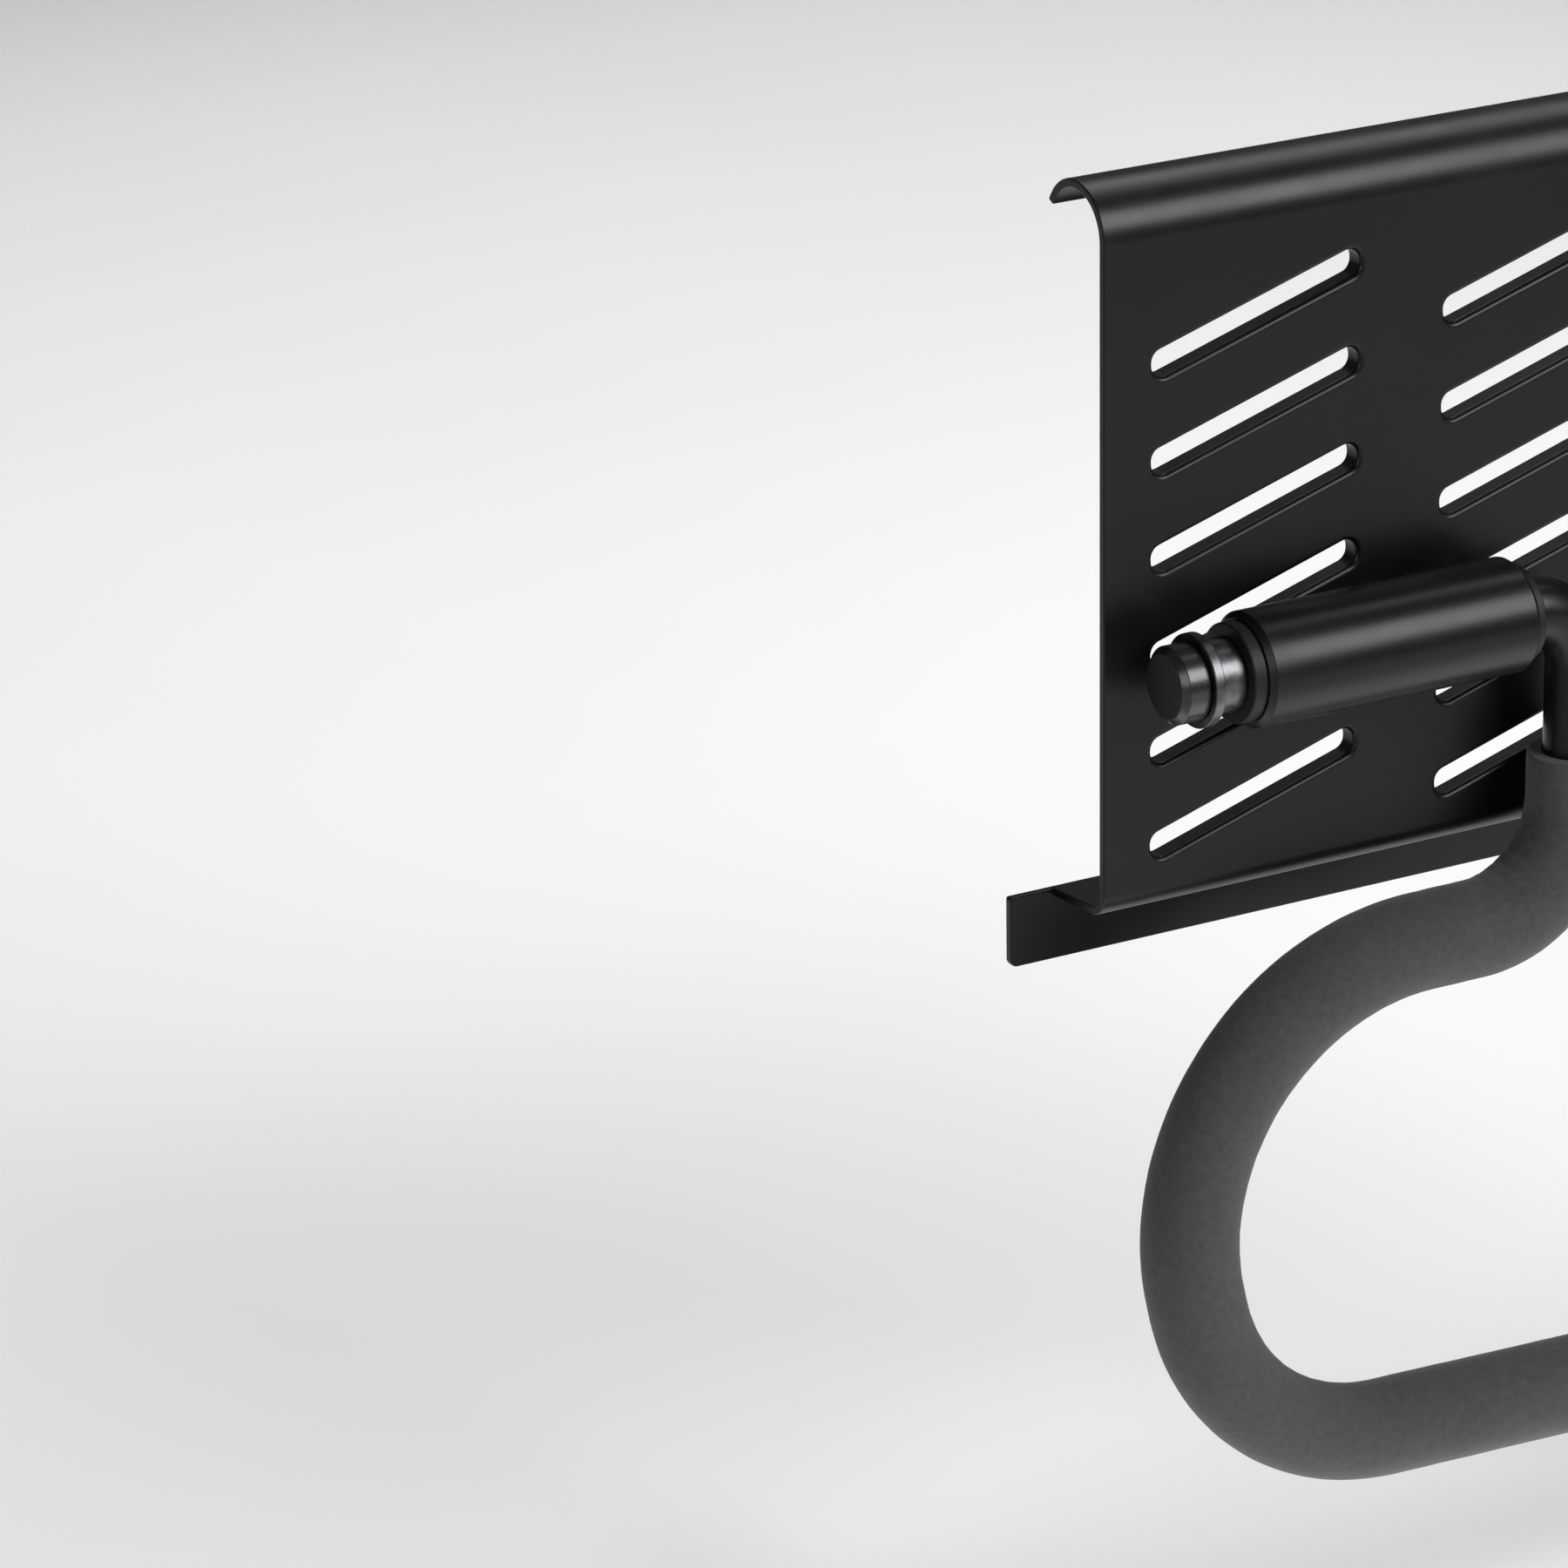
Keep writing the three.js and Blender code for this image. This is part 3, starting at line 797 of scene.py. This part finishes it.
def build_foam():
    points, headings, curvature, distance = loop_line([(-NECK_OFFSET, -FOAM_START, 0)], 1.5)
    sides = 88
    angles = np.arange(sides) * 2 * np.pi / sides
    radii = np.full((len(points), sides), float(FOAM_RADIUS))
    # the sleeve is never quite round: slow swells, small dents and soft creases inside the bends
    radii -= 0.08 + 0.10 * smooth_noise(radii.shape, (26, 5), 3)
    radii -= 0.04 + 0.05 * smooth_noise(radii.shape, (160, 16), 4)
    radii -= 0.025 + 0.025 * smooth_noise(radii.shape, (len(points) // 2, 44), 5)
    soft_curve = np.convolve(np.pad(curvature, 12, mode="edge"), np.ones(25) / 25, "valid")
    inner_side = np.clip(np.cos(angles)[None, :] * np.sign(soft_curve)[:, None], 0, 1) ** 2
    wander = 0.9 * smooth_noise(radii.shape, (40, 4), 6)
    crease = 0.5 - 0.5 * np.cos(2 * np.pi * distance[:, None] / CREASE_SPACING + 2 * wander)
    depth = np.clip(np.abs(soft_curve) * 34 - 0.25, 0, 1) * CREASE_DEPTH
    radii -= depth[:, None] * inner_side * crease ** 3
    rings = tube_rings(points, headings, radii, sides)
    bore = TUBE_RADIUS + SHAFT_CLEARANCE

    def end_rings(index, outwards):
        """A cut end: a rounded rim and a flat face down to the tube."""
        found = []
        heading = headings[index]
        base = points[index]
        for angle in quarter(6)[1:]:
            at = base + heading * outwards * FOAM_RIM * (math.sin(angle) - 1)
            radius = radii[index] - FOAM_RIM * (1 - math.cos(angle))
            found.append(tube_rings(at[None], heading[None], radius[None], sides)[0])
        for radius in (12.0, 11.0, 10.2, bore):
            found.append(tube_rings(base[None], heading[None], radius, sides)[0])
        return found

    inner_rings = tube_rings(points, headings, bore, sides)
    mesh_points, faces = loft([*rings[1:-1], *end_rings(-1, 1), *inner_rings[-2:0:-1],
                               *end_rings(0, -1)[::-1]], closed_path=True)
    sleeve = add_piece("foam_grip", mesh_points, faces, [FOAM], "swing_loop", ["foam_sleeve"])


build_plate()
build_strip()
build_welds()
for hand, side in (("left", -1), ("right", 1)):
    build_barrel(hand, side)
    build_bushings(hand, side)
    build_rings(hand, side)
    build_cap(hand, side)
build_tube()
build_foam()

# ---- Floor, light and camera -----------------------------------------------------------

FLOOR_Z = -0.26


def build_floor():
    material, tree, shader = node_tree("pale_floor")
    where = place(tree)
    tone = remap(tree, noise(tree, where, 3.0), 0.3, 0.7, 0.0, 1.0)
    tree.links.new(blend_colours(tree, tone, (0.86, 0.86, 0.865), (0.88, 0.88, 0.88)),
                   shader.inputs["Base Color"])
    shader.inputs["Roughness"].default_value = 0.9
    shader.inputs["Specular IOR Level"].default_value = 0.2
    half = 8.0
    mesh = bpy.data.meshes.new("floor")
    mesh.from_pydata([(-half, -half, FLOOR_Z), (half, -half, FLOOR_Z), (half, half, FLOOR_Z),
                      (-half, half, FLOOR_Z)], [], [(0, 1, 2, 3)])
    mesh.materials.append(material)
    floor = bpy.data.objects.new("floor", mesh)
    bpy.context.scene.collection.objects.link(floor)


def area_light(name, size, power):
    lamp = bpy.data.lights.new(name, "AREA")
    lamp.shape = "RECTANGLE"
    lamp.size, lamp.size_y = size
    lamp.energy = power
    light = bpy.data.objects.new(name, lamp)
    bpy.context.scene.collection.objects.link(light)
    return light


def softbox(name, towards, distance, size, power):
    """An area light in the direction towards, facing the middle of the rack."""
    light = area_light(name, size, power)
    aim = Vector(towards).normalized()
    light.location = Vector((0, -0.03, 0.03)) + aim * distance
    light.rotation_euler = aim.to_track_quat("Z", "Y").to_euler()


def build_light():
    softbox("key", (0.36, -0.74, 0.56), 1.9, (1.15, 0.95), 35)
    softbox("overhead", (0.40, 0.36, 0.84), 2.0, (1.6, 0.6), 13)
    softbox("side", (-0.86, -0.42, 0.30), 2.2, (0.9, 0.9), 10)
    wash = area_light("floor_wash", (2.4, 2.0), 7)
    wash.data.spread = math.radians(65)
    wash.location = (0.25, 1.2, 1.0)
    wash.visible_camera = False
    glow = area_light("underlight", (0.9, 0.40), 1.2)
    glow.location = (0.05, -0.17, FLOOR_Z + 0.01)
    glow.rotation_euler = (math.pi, 0, 0)
    glow.visible_camera = False


def build_world():
    """A faint sky for light, and plain white where the camera sees past the floor."""
    world = bpy.data.worlds.new("studio")
    world.use_nodes = True
    tree = world.node_tree
    background = tree.nodes["Background"]
    background.inputs["Color"].default_value = (0.95, 0.96, 1.0, 1)
    background.inputs["Strength"].default_value = 0.12
    seen = add_node(tree, "ShaderNodeBackground")
    seen.inputs["Color"].default_value = (1, 1, 1, 1)
    path = add_node(tree, "ShaderNodeLightPath")
    mixed = add_node(tree, "ShaderNodeMixShader")
    tree.links.new(path.outputs["Is Camera Ray"], mixed.inputs["Fac"])
    tree.links.new(background.outputs["Background"], mixed.inputs[1])
    tree.links.new(seen.outputs["Background"], mixed.inputs[2])
    tree.links.new(mixed.outputs["Shader"], tree.nodes["World Output"].inputs["Surface"])
    bpy.context.scene.world = world


def build_camera():
    azimuth, elevation, roll = (math.radians(v) for v in (28.441, 21.108, -0.998))
    sin_a, cos_a = math.sin(azimuth), math.cos(azimuth)
    sin_e, cos_e = math.sin(elevation), math.cos(elevation)
    right = Vector((cos_a, -sin_a, 0))
    up = Vector((sin_a * sin_e, cos_a * sin_e, cos_e))
    ahead = Vector((sin_a * cos_e, cos_a * cos_e, -sin_e))
    across = right * math.cos(roll) + up * math.sin(roll)
    above = up * math.cos(roll) - right * math.sin(roll)
    data = bpy.data.cameras.new("camera")
    data.lens = 160.786
    data.sensor_width = 36
    data.clip_start, data.clip_end = 0.05, 60
    camera = bpy.data.objects.new("camera", data)
    camera.matrix_world = Matrix.Translation((-1.1244, -1.5708, 0.74785)) @ Matrix(
        (across, above, -ahead)).transposed().to_4x4()
    bpy.context.scene.collection.objects.link(camera)
    bpy.context.scene.camera = camera


build_floor()
build_light()
build_world()
build_camera()
bpy.context.scene.view_settings.view_transform = "Standard"
